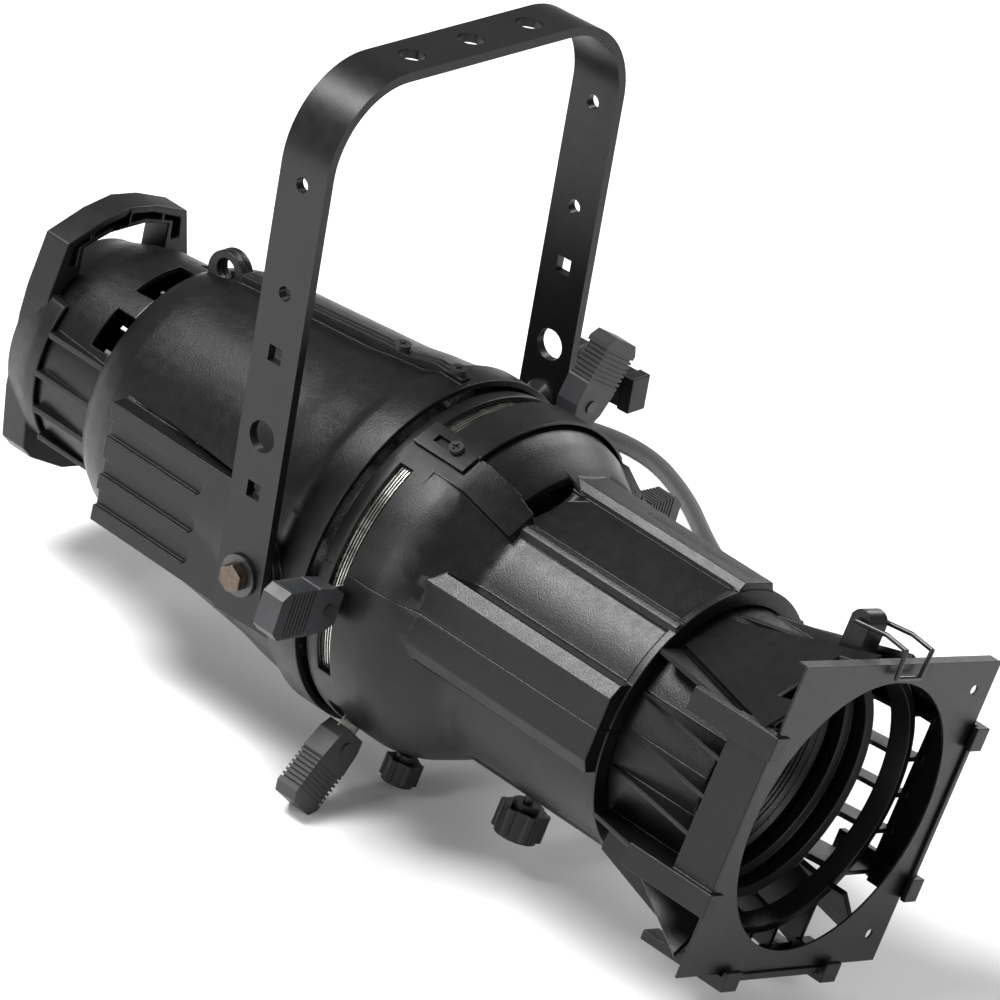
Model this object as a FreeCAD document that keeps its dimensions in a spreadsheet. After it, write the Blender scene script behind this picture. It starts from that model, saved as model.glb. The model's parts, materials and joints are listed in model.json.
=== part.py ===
"""Ellipsoidal spotlight: housing, yoke, rolling barrel with four shutters, sliding lens tube.

Working frame of every function below: origin on the optical axis where the yoke pivots cross it,
-Y towards the beam, +Z up.  place() moves the finished piece into the part's own frame, whose origin
is under the middle of the object on the surface that it stands on.
"""
import FreeCAD, Part
import math
import os
import Sketcher

V = FreeCAD.Vector
doc = FreeCAD.newDocument("ellipsoidal_spotlight")

# ---------------------------------------------------------------- driving dimensions (millimetres, degrees)

DIMENSIONS = {
    # place of the optical axis in the part's frame
    "shift_x": -9.95, "shift_y": 39.5, "axis_height": 110.72,
    # attitudes at rest
    "barrel_roll": 15.0, "yoke_tilt": -3.05,
    # reflector housing
    "housing_front": -30.0, "housing_rear": 146.0, "housing_wall": 3.2, "housing_mouth": 92.0,
    "panel_face": 80.0, "panel_low": -38.0, "panel_high": 28.0, "boss_face": 96.6, "boss_round": 17.0,
    # yoke: flat steel bar bent to a stirrup
    "yoke_width": 204.2, "bar_width": 29.2, "bar_thick": 4.8, "yoke_top": 255.5, "yoke_bend": 46.0,
    "yoke_drop": 23.0, "clamp_hole": 6.6, "clamp_pitch": 39.9,
    "upper_hole_height": 202.6, "lower_hole_height": 147.2, "small_hole": 3.75,
    "upper_square_height": 115.7, "lower_square_height": 44.8, "square_hole": 8.4,
    "big_hole_height": 73.1, "big_hole": 8.0,
    # pivot fasteners
    "pivot_shank": 4.0, "pivot_washer": 10.5, "pivot_head": 12.7,
    # barrel
    "gate_rear": -34.0, "gate_radius": 88.5, "window_rear": -42.4, "window_front": -50.4,
    "barrel_front": -206.0, "barrel_radius": 70.0, "barrel_bore": 63.2, "ridge_face": 80.0,
    "ridge_half": 22.5, "trough_depth": 67.6, "ridge_rear": -77.0, "ridge_front": -205.0,
    # shutters
    "blade_thick": 0.8, "blade_width": 84.0, "blade_pitch": 1.5, "first_blade": -43.8,
    "gate_aperture": 42.0,
    # lens tube and colour frame
    "tube_radius": 62.6, "tube_bore": 57.5, "tube_rear": -118.0, "tube_front": -276.0,
    "frame_half": 79.4, "frame_thick": 1.2, "frame_front": -294.4, "frame_opening": 69.6,
    "lens_radius": 56.5,
    # lamp end
    "cap_front": 148.0, "cap_rear": 219.5, "cap_radius": 60.5,
    "ring_rear": 215.0, "ring_depth": 16.0,
    "lamp_radius": 9.5, "sink_radius": 51.0,
    # cord
    "cord_diameter": 9.5,
}

sheet = doc.addObject("Spreadsheet::Sheet", "Dims")
for row, (alias, value) in enumerate(DIMENSIONS.items(), start=1):
    sheet.set("A%d" % row, alias)
    sheet.set("B%d" % row, repr(value))
    sheet.setAlias("B%d" % row, alias)
doc.recompute()


def dim(alias):
    """A driving dimension as the sheet holds it."""
    return float(sheet.get(alias))


def formula(text):
    """An expression with every driving dimension's name led by the sheet's."""
    for alias in sorted(DIMENSIONS, key=len, reverse=True):
        text = text.replace("{%s}" % alias, "Dims.%s" % alias)
    return text


def bind(target, prop, text):
    """Bind one property to an expression; a plain number is set as it stands."""
    if isinstance(text, (int, float)):
        text = repr(float(text))
    target.setExpression(prop, formula(text))


def seat(target, at, axis=None):
    """Place a primitive: its base point is bound to the sheet, its axis is a direction."""
    if axis is not None:
        target.Placement = FreeCAD.Placement(V(0, 0, 0), FreeCAD.Rotation(V(0, 0, 1), V(*axis)))
    for letter, text in zip("xyz", at):
        bind(target, "Placement.Base." + letter, text)
    return target


# ---------------------------------------------------------------- small modelling vocabulary

def box(name, size, at):
    """A box from its low corner."""
    item = doc.addObject("Part::Box", name)
    for prop, text in zip(("Length", "Width", "Height"), size):
        bind(item, prop, text)
    return seat(item, at)


def rod(name, radius, length, at, axis=(0, 0, 1)):
    item = doc.addObject("Part::Cylinder", name)
    bind(item, "Radius", radius)
    bind(item, "Height", length)
    return seat(item, at, axis)


def cone(name, radius_1, radius_2, length, at, axis=(0, 0, 1)):
    item = doc.addObject("Part::Cone", name)
    bind(item, "Radius1", radius_1)
    bind(item, "Radius2", radius_2)
    bind(item, "Height", length)
    return seat(item, at, axis)


def fuse(name, *items):
    item = doc.addObject("Part::MultiFuse", name)
    item.Shapes = list(items)
    item.Refine = True
    return item


def cut(name, base, *tools):
    item = doc.addObject("Part::Cut", name)
    item.Base = base
    item.Tool = tools[0] if len(tools) == 1 else fuse(name + "_tools", *tools)
    return item


def common(name, first, second):
    item = doc.addObject("Part::MultiCommon", name)
    item.Shapes = [first, second]
    return item


def turned_about(item, axis, angle):
    """Turn an unplaced result about an axis through the origin."""
    turn = FreeCAD.Placement(V(0, 0, 0), FreeCAD.Rotation(V(*axis), angle))
    item.Placement = turn.multiply(item.Placement)
    return item


def copy_turned(name, source, axis, angle):
    """A second instance of a piece, turned about an axis through the origin."""
    item = doc.addObject("Part::Compound", name)
    item.Links = [source]
    return turned_about(item, axis, angle)


def plane_of(body, role):
    return [plane for plane in body.Origin.OriginFeatures if plane.Role == role][0]


def outline(body, name, points, role="XY_Plane"):
    """A closed sketch through points whose two coordinates are each bound to the sheet."""
    sketch = body.newObject("Sketcher::SketchObject", name)
    sketch.AttachmentSupport = [(plane_of(body, role), "")]
    sketch.MapMode = "FlatFace"
    doc.recompute()
    values = [tuple(sheet_value(text) for text in point) for point in points]
    count = len(points)
    for index in range(count):
        start = V(*values[index], 0)
        end = V(*values[(index + 1) % count], 0)
        sketch.addGeometry(Part.LineSegment(start, end), False)
    for index in range(count):
        sketch.addConstraint(Sketcher.Constraint("Coincident", index, 2, (index + 1) % count, 1))
    for index, point in enumerate(points):
        for kind, value, text in zip(("DistanceX", "DistanceY"), values[index], point):
            number = sketch.addConstraint(Sketcher.Constraint(kind, -1, 1, index, 1, value))
            if isinstance(text, str):
                label = "%s_%d" % (kind, index)
                sketch.renameConstraint(number, label)
                sketch.setExpression("Constraints." + label, formula(text))
    return sketch


def sheet_value(text):
    """The number that an expression in driving dimensions gives now."""
    if not isinstance(text, str):
        return float(text)
    for alias in DIMENSIONS:
        text = text.replace("{%s}" % alias, "(%r)" % dim(alias))
    return float(FreeCAD.Units.Quantity(text).Value)


def turned(name, profile):
    """A PartDesign body turned about the optical axis: profile points are (radius, y)."""
    body = doc.addObject("PartDesign::Body", name)
    sketch = outline(body, name + "_profile", profile)
    revolution = body.newObject("PartDesign::Revolution", name + "_turn")
    revolution.Profile = sketch
    revolution.ReferenceAxis = (sketch, ["V_Axis"])
    revolution.Angle = 360
    body.Tip = revolution
    return body


def extruded(name, points, length, role="XY_Plane", midplane=False, backwards=False):
    """A PartDesign body padded from an outline."""
    body = doc.addObject("PartDesign::Body", name)
    sketch = outline(body, name + "_outline", points, role)
    pad = body.newObject("PartDesign::Pad", name + "_pad")
    pad.Profile = sketch
    bind(pad, "Length", length)
    pad.Midplane = midplane
    pad.Reversed = backwards
    body.Tip = pad
    return body


FINISHED = []


def place(item, label, tilt=None):
    """Give a finished piece its name and its place in the part's frame."""
    spot = V(dim("shift_x"), dim("shift_y"), dim("axis_height"))
    turn = FreeCAD.Rotation()
    if tilt == "barrel":
        turn = FreeCAD.Rotation(V(0, 1, 0), dim("barrel_roll"))
    elif tilt == "yoke":
        turn = FreeCAD.Rotation(V(1, 0, 0), dim("yoke_tilt"))
    item.Placement = FreeCAD.Placement(spot, turn).multiply(item.Placement)
    item.Label = label
    FINISHED.append(item)
    return item


# ---------------------------------------------------------------- reflector housing

HOUSING_OUTSIDE = [("{housing_mouth}", "{housing_front}"), ("{housing_mouth}", -14), (88, -4), (85.5, 14),
                   (82.5, 30), (79.7, 60), (76, 100), (73.5, 126), (69.5, 139), (65.5, "{housing_rear}")]


def solid_profile(points):
    """Close a list of (radius, y) points onto the optical axis."""
    return [(0, points[0][1])] + points + [(0, points[-1][1])]


def inset(points, wall):
    """The same outline, nearer the axis by one wall."""
    return [("%s - %s" % (radius, wall), y) for radius, y in points]


def housing_outside():
    shell = turned("housing_outside", solid_profile(HOUSING_OUTSIDE))
    parts = [shell]
    for side in (-1, 1):
        low = "-{panel_face}" if side < 0 else "{panel_face} - 30"
        parts.append(box("panel_%d" % side, (30, 138, "{panel_high} - {panel_low}"),
                         (low, -20, "{panel_low}")))
        start = "-{boss_face}" if side < 0 else "{boss_face} - 40"
        parts.append(rod("boss_%d" % side, "{boss_round}", 40, (start, 0, 0), (1, 0, 0)))
    for side in (-1, 1):
        rib = extruded("seam_rib_%d" % side,
                       [(-27, 80 * side), (-27, 94.5 * side), (-8, 94.5 * side), (9, 89.5 * side),
                        (21, 89.5 * side), (72, 83.5 * side), (126, 77.5 * side), (128, 66 * side)], 7.0, "YZ_Plane", True)
        parts.append(rib)
    parts.append(rod("lug_ring", 12.0, 8, (-4, 129, 73.5), (1, 0, 0)))
    return fuse("housing_solid", *parts)


def housing_halves():
    tools = [turned("housing_cavity",
                    solid_profile([("{housing_mouth} - 3.2", -30)] + inset(HOUSING_OUTSIDE[1:-1], "{housing_wall}")
                                  + [(60.5, "{housing_rear} + 2")]))]
    tools.append(rod("lug_hole", 6.0, 10, (-5, 129, 75.5), (1, 0, 0)))
    for side in (-1, 1):
        face = "-{panel_face} - 1" if side < 0 else "{panel_face} - 2.5"
        for level in (13, -8, -25):
            tools.append(box("slot_%d_%d" % (side, level), (3.5, 62, 9), (face, 57, level - 4.5)))
            tools.append(rod("slot_end_%d_%d" % (side, level), 4.5, 3.5, (face, 57, level), (1, 0, 0)))
        tools.append(box("panel_gap_%d" % side, (11, 98, 2.0), (76 * side - 5.5, 21, "{panel_high} - 0.5")))
        start = "-{boss_face} - 1" if side < 0 else "{boss_face} - 31"
        tools.append(rod("boss_thread_%d" % side, "{pivot_shank} + 0.02", 32, (start, 0, 0), (1, 0, 0)))
        for y in (-21, 15):
            tools.append(rod("seam_hole_%d_%d" % (side, y + 30), 2.05, 40, (0, y, 70 * side), (0, 0, side)))
    hollow = cut("housing_hollow", housing_outside(), *tools)
    left = box("left_side", (140, 220, 240), (-140, -40, -120))
    right = box("right_side", (140, 220, 240), (0, -40, -120))
    place(common("housing_left_common", hollow, left), "housing_left")
    place(common("housing_right_common", hollow, right), "housing_right")


def pan_screw(name, at, axis, head=4.2, depth=2.6, shank=2.0, length=12.0):
    """A pan-head screw: the head stands on its base point, the shank goes the other way."""
    turn = FreeCAD.Rotation(V(0, 0, 1), V(*axis))
    start = V(*at) - turn.multVec(V(0, 0, length))
    top = rod(name + "_head", head, depth, at, axis)
    shaft = rod(name + "_shank", shank, length, tuple(start), axis)
    return cut(name, fuse(name + "_body", top, shaft),
               *[box_about(name + "_cross%d" % k, at, axis, k, depth) for k in (0, 1)])


def box_about(name, at, axis, quarter, depth):
    """One bar of a cross recess in a screw head."""
    item = doc.addObject("Part::Box", name)
    item.Length, item.Width, item.Height = 4.4, 1.0, 1.6
    turn = FreeCAD.Rotation(V(0, 0, 1), V(*axis)).multiply(FreeCAD.Rotation(V(0, 0, 1), 90 * quarter))
    centre = V(*at) + turn.multVec(V(-2.2, -0.5, depth - 1.2))
    item.Placement = FreeCAD.Placement(centre, turn)
    return item


def gather(name, *items):
    group = doc.addObject("Part::Compound", name)
    group.Links = list(items)
    return group


def seam_screws():
    screws = [pan_screw("seam_screw_%d_%d" % (side + 1, y + 30), (0, y, level * side), (0, 0, side))
              for side in (-1, 1) for y, level in ((-21, 94.5), (15, 89.5))]
    place(gather("seam_screw_set", *screws), "housing_screws")


def reflector():
    curve = [(70, 22), (69, 36), (66, 54), (60.5, 72), (52, 90), (42, 104), (30, 114), (22, 118)]
    back = [(radius + 3, y) for radius, y in curve]
    place(turned("reflector_body", curve + back[::-1][:-1] + [(75, 22)]), "reflector")
    place(turned("reflector_ring_body", [(64, 18), (81, 18), (79.6, 21.7), (64, 21.7)]), "reflector_ring")


def pivot_fasteners():
    bolts, washers = [], []
    outer = "({yoke_width} / 2 + 0.3)"
    for side in (-1, 1):
        axis = (side, 0, 0)
        washer = rod("washer_disc_%d" % side, "{pivot_washer}", 1.7, ("%d * %s" % (side, outer), 0, 0), axis)
        hole = rod("washer_hole_%d" % side, "{pivot_shank} + 0.02", 4, ("%d * 101" % side, 0, 0), axis)
        washers.append(cut("washer_%d" % side, washer, hole))
        head = doc.addObject("Part::Prism", "hex_%d" % side)
        head.Polygon = 6
        bind(head, "Circumradius", "{pivot_head} / 1.732")
        head.Height = 5.4
        seat(head, ("%d * (%s + 1.7)" % (side, outer), 0, 0), axis)
        shank = rod("pivot_shank_%d" % side, "{pivot_shank}", 34, ("%d * 72" % side, 0, 0), axis)
        bolts.append(fuse("pivot_bolt_%d" % side, head, shank))
    place(gather("pivot_bolt_set", *bolts), "pivot_bolts")
    place(gather("pivot_washer_set", *washers), "pivot_washers")


# ---------------------------------------------------------------- yoke

def yoke():
    half, thick, wide = "{yoke_width} / 2", "{bar_thick}", "{bar_width}"
    bend = "{yoke_bend}"
    rise = "{yoke_top} - {yoke_bend} + {yoke_drop}"
    arms = [box("arm_left", (thick, wide, rise), ("-%s" % half, "-{bar_width} / 2", "-{yoke_drop}")),
            box("arm_right", (thick, wide, rise),
                ("%s - {bar_thick}" % half, "-{bar_width} / 2", "-{yoke_drop}"))]
    bridge = box("bridge", ("{yoke_width} - 2 * {yoke_bend}", wide, thick),
                 ("-%s + {yoke_bend}" % half, "-{bar_width} / 2", "{yoke_top} - {bar_thick}"))
    corners = []
    for side in (-1, 1):
        centre = ("%d * (%s - {yoke_bend})" % (side, half), "-{bar_width} / 2", "{yoke_top} - {yoke_bend}")
        ring = cut("bend_ring_%d" % side, rod("bend_out_%d" % side, bend, wide, centre, (0, 1, 0)),
                   rod("bend_in_%d" % side, "{yoke_bend} - {bar_thick}", wide, centre, (0, 1, 0)))
        low_x = centre[0] if side > 0 else "-%s" % half
        corners.append(common("bend_%d" % side, ring,
                              box("bend_quarter_%d" % side, (bend, wide, bend), (low_x, centre[1], centre[2]))))
    bar = fuse("stirrup", *(arms + [bridge] + corners))
    tools = []
    for number in (-1, 0, 1):
        tools.append(rod("clamp_hole_%d" % (number + 1), "{clamp_hole}", 12,
                         ("%d * {clamp_pitch}" % number, 0, "{yoke_top} - 8")))
    across = ("-{yoke_width} / 2 - 5", 0)
    for name, height, radius in (("upper", "{upper_hole_height}", "{small_hole}"),
                                 ("lower", "{lower_hole_height}", "{small_hole}"),
                                 ("big", "{big_hole_height}", "{big_hole}"),
                                 ("pivot", 0, "{pivot_shank} + 0.06")):
        tools.append(rod("hole_" + name, radius, "{yoke_width} + 10", (across[0], 0, height), (1, 0, 0)))
    for name in ("upper", "lower"):
        tools.append(box("square_" + name, ("{yoke_width} + 10", "{square_hole}", "{square_hole}"),
                         (across[0], "-{square_hole} / 2", "{%s_square_height} - {square_hole} / 2" % name)))
    for side in (-1, 1):
        end = rod("end_round_%d" % side, 25.6, 20, ("%d * 95" % side, 0, 0), (side, 0, 0))
        low = -116 if side < 0 else 94
        block = box("end_block_%d" % side, (22, 40, 20), (low, -20, "-{yoke_drop} - 4"))
        tools.append(cut("end_trim_%d" % side, block, end))
    place(cut("yoke_bar", bar, *tools), "yoke", "yoke")


def lock_bolt_and_knob():
    height = "{lower_square_height}"
    inner = "{yoke_width} / 2 - {bar_thick}"
    brim = rod("bolt_brim", 9.4, 1.4, (inner, 0, height), (-1, 0, 0))
    crown = cone("bolt_crown", 9.2, 4.6, 2.6, ("%s - 1.3" % inner, 0, height), (-1, 0, 0))
    head = fuse("bolt_cap", brim, crown)
    neck = box("square_neck", ("{bar_thick} + 0.5", 8.2, 8.2), ("%s - 0.5" % inner, -4.1, "%s - 4.1" % height))
    shank = rod("lock_shank", 4, 38, ("{yoke_width} / 2 - 2", 0, height), (1, 0, 0))
    place(fuse("lock_bolt_fuse", head, neck, shank), "lock_bolt", "yoke")
    start = "{yoke_width} / 2 + 0.3"
    hub = cone("knob_hub", 11, 8.5, 38, (start, 0, height), (1, 0, 0))
    bar = box("knob_bar", (12, 46, 17), ("{yoke_width} / 2 + 36", -23, "%s - 8.5" % height))
    end_blocks = [box("knob_end_%d" % side, (13, 7, 19), ("{yoke_width} / 2 + 35.5", -23.5 if side < 0 else 16.5,
                                                       "%s - 9.5" % height)) for side in (-1, 1)]
    knob = fuse("knob_solid", hub, bar, *end_blocks)
    place(cut("knob_cut", knob, rod("knob_bore", 4.05, 37, ("{yoke_width} / 2", 0, height), (1, 0, 0))),
          "lock_knob", "yoke")


# ---------------------------------------------------------------- barrel and gate

BARREL_OUTSIDE = [("{gate_radius}", "{gate_rear}"), (89.5, -39), (89.5, -66), (86.5, -78), (78.5, -93),
                  (71, -105), ("{barrel_radius}", -112), ("{barrel_radius}", "{barrel_front} + 5"),
                  (71.6, "{barrel_front} + 4.4"), (71.6, "{barrel_front}")]


def about_axis(angle, points):
    """Points given as (outwards, across) at an angle from the top, as (x, z)."""
    sine, cosine = math.sin(math.radians(angle)), math.cos(math.radians(angle))
    return [("(%s) * %.6f + %.6f" % (out, sine, across * cosine),
             "(%s) * %.6f - %.6f" % (out, cosine, across * sine)) for out, across in points]


def barrel_blank():
    """Body of revolution with its side ridges, top ridge, rims of the troughs and pads under the cover's feet."""
    parts = [turned("barrel_outside", solid_profile(BARREL_OUTSIDE))]
    long_ridge = "{ridge_rear} - {ridge_front}"
    for side in (-1, 1):
        half = "{ridge_half}"
        face = "%d * {ridge_face}" % side
        inner = "%d * ({ridge_face} - 4.5)" % side
        parts.append(extruded_y("side_ridge_%d" % side,
                                [(50 * side, "-" + half), (inner, "-" + half), (face, "6.5 - " + half),
                                 (face, half + " - 6.5"), (inner, half), (50 * side, half)],
                                "{ridge_rear}", long_ridge))
        rim = about_axis(43.5 * side, [(62, -4.5), (70.4, -4.2), (73.2, -1.6), (73.2, 1.6), (70.4, 4.2), (62, 4.5)])
        parts.append(extruded_y("trough_rim_%d" % side, rim, -94, 111.4))
        pad = extruded("cover_pad_%d" % side, [(-60, 76), (-60, 89.1), (-79, 89.1), (-106, 75.4), (-108, 62)],
                       19.0, "YZ_Plane", True)
        parts.append(copy_turned("cover_pad_turned_%d" % side, pad, (0, 1, 0), 43.5 * side))
    for quarter, top in ((0, 74.8), (180, 72.6)):
        ridge = extruded_y("long_ridge_%d" % quarter, [(-13.5, 62), (-13.5, top - 3.8), (-10.8, top), (10.8, top),
                                                       (13.5, top - 3.8), (13.5, 62)], -88, 117.4)
        parts.append(copy_turned("long_ridge_turned_%d" % quarter, ridge, (0, 1, 0), quarter))
    return fuse("barrel_solid", *parts)


def extruded_y(name, points, rear, length):
    """An outline in (x, z) padded forwards along -Y from the plane y = rear."""
    flat = extruded(name, points, length, "XZ_Plane")
    bind(flat, "Placement.Base.y", rear)
    return flat


def barrel_halves():
    cavity = turned("barrel_cavity", solid_profile([(87, "{gate_rear} + 2"), (87, -65), (83.5, -77), (75.2, -92),
                                                    (66, -105), ("{barrel_bore}", -113),
                                                    ("{barrel_bore}", "{barrel_front} - 2")]))
    tools = [cavity]
    for side in (-1, 1):
        inner, outer = -18.4 * side, 15.2 * side
        floor = about_axis(26.3 * side, [("{trough_depth}", inner), ("{trough_depth}", outer), (90, outer), (90, inner)])
        tools.append(extruded_y("trough_%d" % side, floor, -97, 103.5))
    tools.append(box("top_slot", (1.8, 66, 3), (-0.9, -200, 73)))
    for quarter in range(4):
        window = box("window_%d" % quarter, (108, "{window_rear} - {window_front}", 45),
                     (-54, "{window_front}", 55))
        tools.append(copy_turned("window_turned_%d" % quarter, window, (0, 1, 0), 90 * quarter))
    tools.append(box("focus_slot", (7.0, 62, 30), (-3.5, -182, -80)))
    tools.append(rod("lock_thread", 3.03, 20, (0, -60, -95)))
    for side in (-1, 1):
        tap = rod("cover_thread_%d" % side, 1.94, 16, (0, -60.5, 80))
        tools.append(copy_turned("cover_thread_turned_%d" % side, tap, (0, 1, 0), 40 * side))
    for side in (-1, 1):
        for y in (-70, -196):
            tools.append(rod("flange_hole_%d_%d" % (side + 1, -y), 2.05, 8,
                             (73.5 * side, y, -4), (0, 0, 1)))
    hollow = cut("barrel_hollow", barrel_blank(), *tools)
    upper = box("upper_side", (220, 240, 120), (-110, -230, 0))
    lower = box("lower_side", (220, 240, 120), (-110, -230, -120))
    place(common("barrel_upper_common", hollow, upper), "barrel_upper", "barrel")
    place(common("barrel_lower_common", hollow, lower), "barrel_lower", "barrel")


def gate_plate(name, rear, thick, inner="{gate_aperture}"):
    """A flat ring across the gate; rear is its face on the lamp side."""
    return turned(name, [(inner, "%s - %s" % (rear, thick)), (86.8, "%s - %s" % (rear, thick)),
                         (86.8, rear), (inner, rear)])


def gate():
    """The aperture plates, the guide plates between the shutters and the bright rim ring."""
    place(gate_plate("gate_rear_body", "{first_blade} + 1.2", 1.0), "gate_rear_plate", "barrel")
    guides = [gate_plate("guide_%d" % k, "{first_blade} - {blade_thick} - %r - %d * {blade_pitch}" % (0.15, k), 0.4)
              for k in range(3)]
    place(gather("guide_set", *guides), "shutter_guides", "barrel")
    front = "{first_blade} - 4 * {blade_pitch} + 0.3"
    place(gate_plate("gate_front_body", front, 1.2), "gate_front_plate", "barrel")
    place(gate_plate("band_body", "%s - 1.3" % front, 1.7, 84.8), "shutter_band", "barrel")


def gate_cover():
    """A curved plate over the gate's slot; its two slotted feet slide under pan-head screws."""
    sleeve = turned("cover_sleeve", [(90.0, -73), (91.5, -73), (91.5, -52), (90.0, -52)])
    foot = turned("cover_foot", [(90.0, -72), (91.5, -72), (91.5, -39.5), (90.0, -39.5)])
    middle = box("cover_keep", (112, 50, 60), (-56, -90, 60))
    feet = []
    for side, rear in ((-1, -39.5), (1, -52)):
        keep = box("foot_keep_%d" % side, (16, "%r + 75" % rear, 20), (-8, -75, 80))
        feet.append(common("foot_%d" % side, foot, copy_turned("foot_turned_%d" % side, keep, (0, 1, 0), 40 * side)))
    plate = fuse("cover_plate", common("cover_arc", sleeve, middle), *feet)
    slots, screws = [], []
    for side in (-1, 1):
        slot = box("cover_slot_%d" % side, (4.4, 15.5, 12), (-2.2, -62.7, 84))
        slots.append(copy_turned("cover_slot_turned_%d" % side, slot, (0, 1, 0), 40 * side))
        screw = pan_screw("cover_screw_%d" % side, (0, -60.5, 91.9), (0, 0, 1), 3.6, 2.0, 1.9, 8.0)
        screws.append(copy_turned("cover_screw_turned_%d" % side, screw, (0, 1, 0), 40 * side))
    place(cut("gate_cover_cut", plate, *slots), "gate_cover", "barrel")
    place(gather("cover_screw_set", *screws), "cover_screws", "barrel")


# ---------------------------------------------------------------- shutters

# name, direction of the handle about the axis, sideways offset, skew of the blade, pulled out by, slot number
SHUTTERS = [("top", 0, 44, 13, 0, 0), ("right", 90, -18, -9, 20, 1), ("bottom", 180, 34, 27, 0, 2),
            ("left", 270, -15, -6, 0, 3)]


def shutter(name, direction, offset, skew, pulled, slot):
    plane = "{first_blade} - %d * {blade_pitch}" % slot
    top = 93.0
    half = "{blade_width} * 0.38"
    blade = extruded_y("blade_plate_" + name,
                       [("-" + half, -8), ("-" + half, 26), (-16, 48), (-16, 58), (16, 58), (16, 48), (half, 26),
                        (half, -8)], plane, "{blade_thick}")
    tongue = box("blade_tongue_" + name, (17, "{blade_thick}", 54), (-8.5, "%s - {blade_thick}" % plane, 56))
    sheet_metal = fuse("blade_fuse_" + name, blade, tongue)
    foot = extruded_y("grip_foot_" + name, [(-8, 0), (-11, 6), (-12.5, 18), (-11.3, 20), (11.3, 20), (12.5, 18),
                                            (11, 6), (8, 0)], "%s + 6" % plane, 12.8)
    core = extruded_y("grip_core_" + name, [(-11.3, 19), (-11.3, 38), (-8, 42), (8, 42), (11.3, 38), (11.3, 19)],
                      "%s + 5.3" % plane, 11.4)
    head = extruded_y("grip_head_" + name, [(-12.5, 36.4), (-12.5, 39), (-8.5, 43.5), (8.5, 43.5), (12.5, 39),
                                            (12.5, 36.4)], "%s + 6" % plane, 12.8)
    ribs = [box("rib_%s_%d" % (name, k), (25, 12.8, 1.3), (-12.5, "%s - 6.8" % plane, 19.6 + 2.4 * k))
            for k in range(7)]
    grip = fuse("grip_" + name, foot, core, head, *ribs)
    slit = box("slit_" + name, (17.2, "{blade_thick} + 0.1", 19), (-8.6, "%s - {blade_thick} - 0.05" % plane, -1))
    hole = rod("rivet_hole_" + name, 2.52, 20, (0, "%s - 10" % plane, 8), (0, 1, 0))
    handle = cut("handle_" + name, grip, slit, hole)
    rivet = fuse("rivet_fuse_" + name, rod("rivet_pin_" + name, 2.5, 12.0, (0, "%s - 6.4" % plane, 8), (0, 1, 0)),
                 rod("rivet_head_" + name, 3.2, 0.8, (0, "%s - 7.6" % plane, 8), (0, 1, 0)))
    blade_hole = rod("blade_hole_" + name, 2.52, 8, (0, "%s - 4" % plane, top + 8), (0, 1, 0))
    metal = cut("blade_" + name, sheet_metal, blade_hole)
    pieces = [(metal, 0, "blade_"), (handle, top, "handle_"), (rivet, top, "rivet_")]
    for item, rise, prefix in pieces:
        item.Placement = shutter_place(direction, offset, skew, pulled, rise)
        place(item, prefix + name, "barrel")


def shutter_place(direction, offset, skew, pulled, rise):
    """Shutters swing in their slot about a point near the rim, and slide along their own middle line."""
    rim = V(offset, 0, math.sqrt(86.0 ** 2 - offset ** 2))
    lean = FreeCAD.Rotation(V(0, 1, 0), skew)
    slide = lean.multVec(V(0, 0, rise + pulled - 86.0))
    local = FreeCAD.Placement(rim + slide, lean)
    return FreeCAD.Placement(V(0, 0, 0), FreeCAD.Rotation(V(0, 1, 0), direction)).multiply(local)


# ---------------------------------------------------------------- knobs on the barrel

def lobed_knob(name, radius, depth, lobes):
    """A round plastic knob with finger lobes, standing on its base point along +Z."""
    core = rod(name + "_core", radius * 0.86, depth, (0, 0, 0))
    fingers = [rod("%s_lobe%d" % (name, k), radius * 0.26, depth - 1.5,
                   (radius * 0.76 * math.cos(2 * math.pi * k / lobes),
                    radius * 0.76 * math.sin(2 * math.pi * k / lobes), 0)) for k in range(lobes)]
    collar = rod(name + "_collar", radius * 0.55, 3, (0, 0, -3))
    return fuse(name, core, collar, *fingers)


def barrel_knobs():
    """Both knobs hang under the barrel; the focus knob's stud runs in the barrel's slot."""
    down = FreeCAD.Rotation(V(1, 0, 0), 180)
    focus = lobed_knob("focus_head", 12.5, 15, 6)
    stud = rod("focus_stud_body", 2.4, 20, (0, 0, -20))
    bore = rod("focus_knob_bore", 2.42, 8, (0, 0, -4))
    for item, label in ((cut("focus_cut", focus, bore), "focus_knob"),
                        (fuse("focus_stud_fuse", stud, rod("stud_end", 2.4, 3, (0, 0, -0.5))), "focus_stud")):
        item.Placement = FreeCAD.Placement(V(0, -134, -82), down)
        place(item, label, "barrel")
    lock = fuse("rotation_whole", lobed_knob("rotation_head", 9.5, 12, 6), rod("rotation_stud", 3.0, 5, (0, 0, -8)))
    lock.Placement = FreeCAD.Placement(V(0, -60, -96), down)
    place(lock, "rotation_knob", "barrel")


# ---------------------------------------------------------------- lens tube, lenses, holder and colour frame

def section(name, y, corners):
    """A closed outline of (x, z) corners across the axis, for a loft."""
    item = doc.addObject("Part::Polygon", name)
    item.Nodes = [V(x, y, z) for x, z in corners]
    item.Close = True
    return item


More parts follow.
